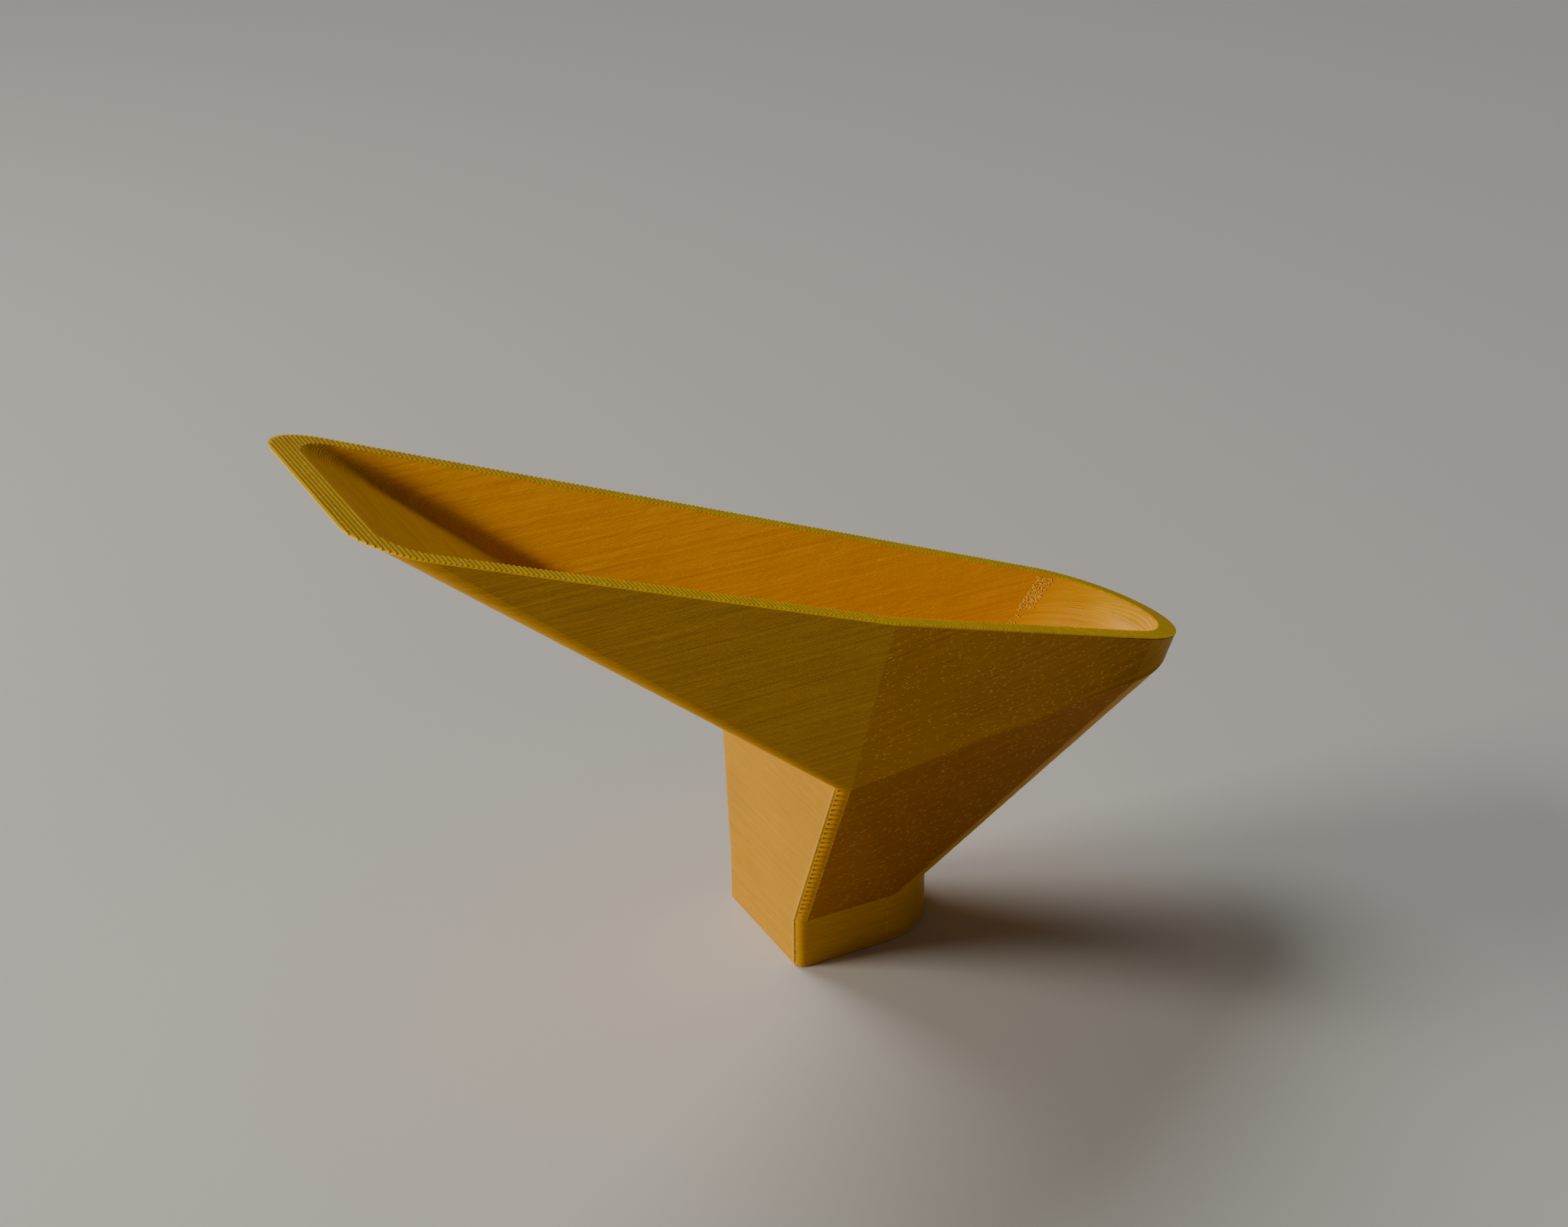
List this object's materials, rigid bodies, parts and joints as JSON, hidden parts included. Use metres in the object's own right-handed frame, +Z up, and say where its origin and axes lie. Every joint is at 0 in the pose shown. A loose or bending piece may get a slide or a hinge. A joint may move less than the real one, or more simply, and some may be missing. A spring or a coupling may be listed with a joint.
{
  "type": "offset hopper funnel",
  "caption": "Long sloping one-sided hopper with a rounded nose that drains through a flared throat into a short D-shaped spigot.",
  "frame": {"origin": "centre of the spigot's foot: mid-way between its flat end and its round end, on the standing face", "axes": "+Z up out of the standing face; +X from the flat end of the spigot and mouth toward the round nose; +Y toward the upright far wall, so the flared wall is on -Y"},
  "size_m": [0.1036, 0.0336, 0.0695],
  "materials": {
    "print": "3D-printed PLA in golden yellow, satin, with fine level layer lines"
  },
  "bodies": {
    "root": {"spigot": "print", "throat_back_wall": "print", "throat_near_wall": "print", "throat_nose": "print", "throat_far_wall": "print", "hopper_floor": "print", "hopper_near_wall_rear": "print", "hopper_near_wall_front": "print", "hopper_nose": "print", "hopper_far_wall": "print"}
  },
  "joints": []
}
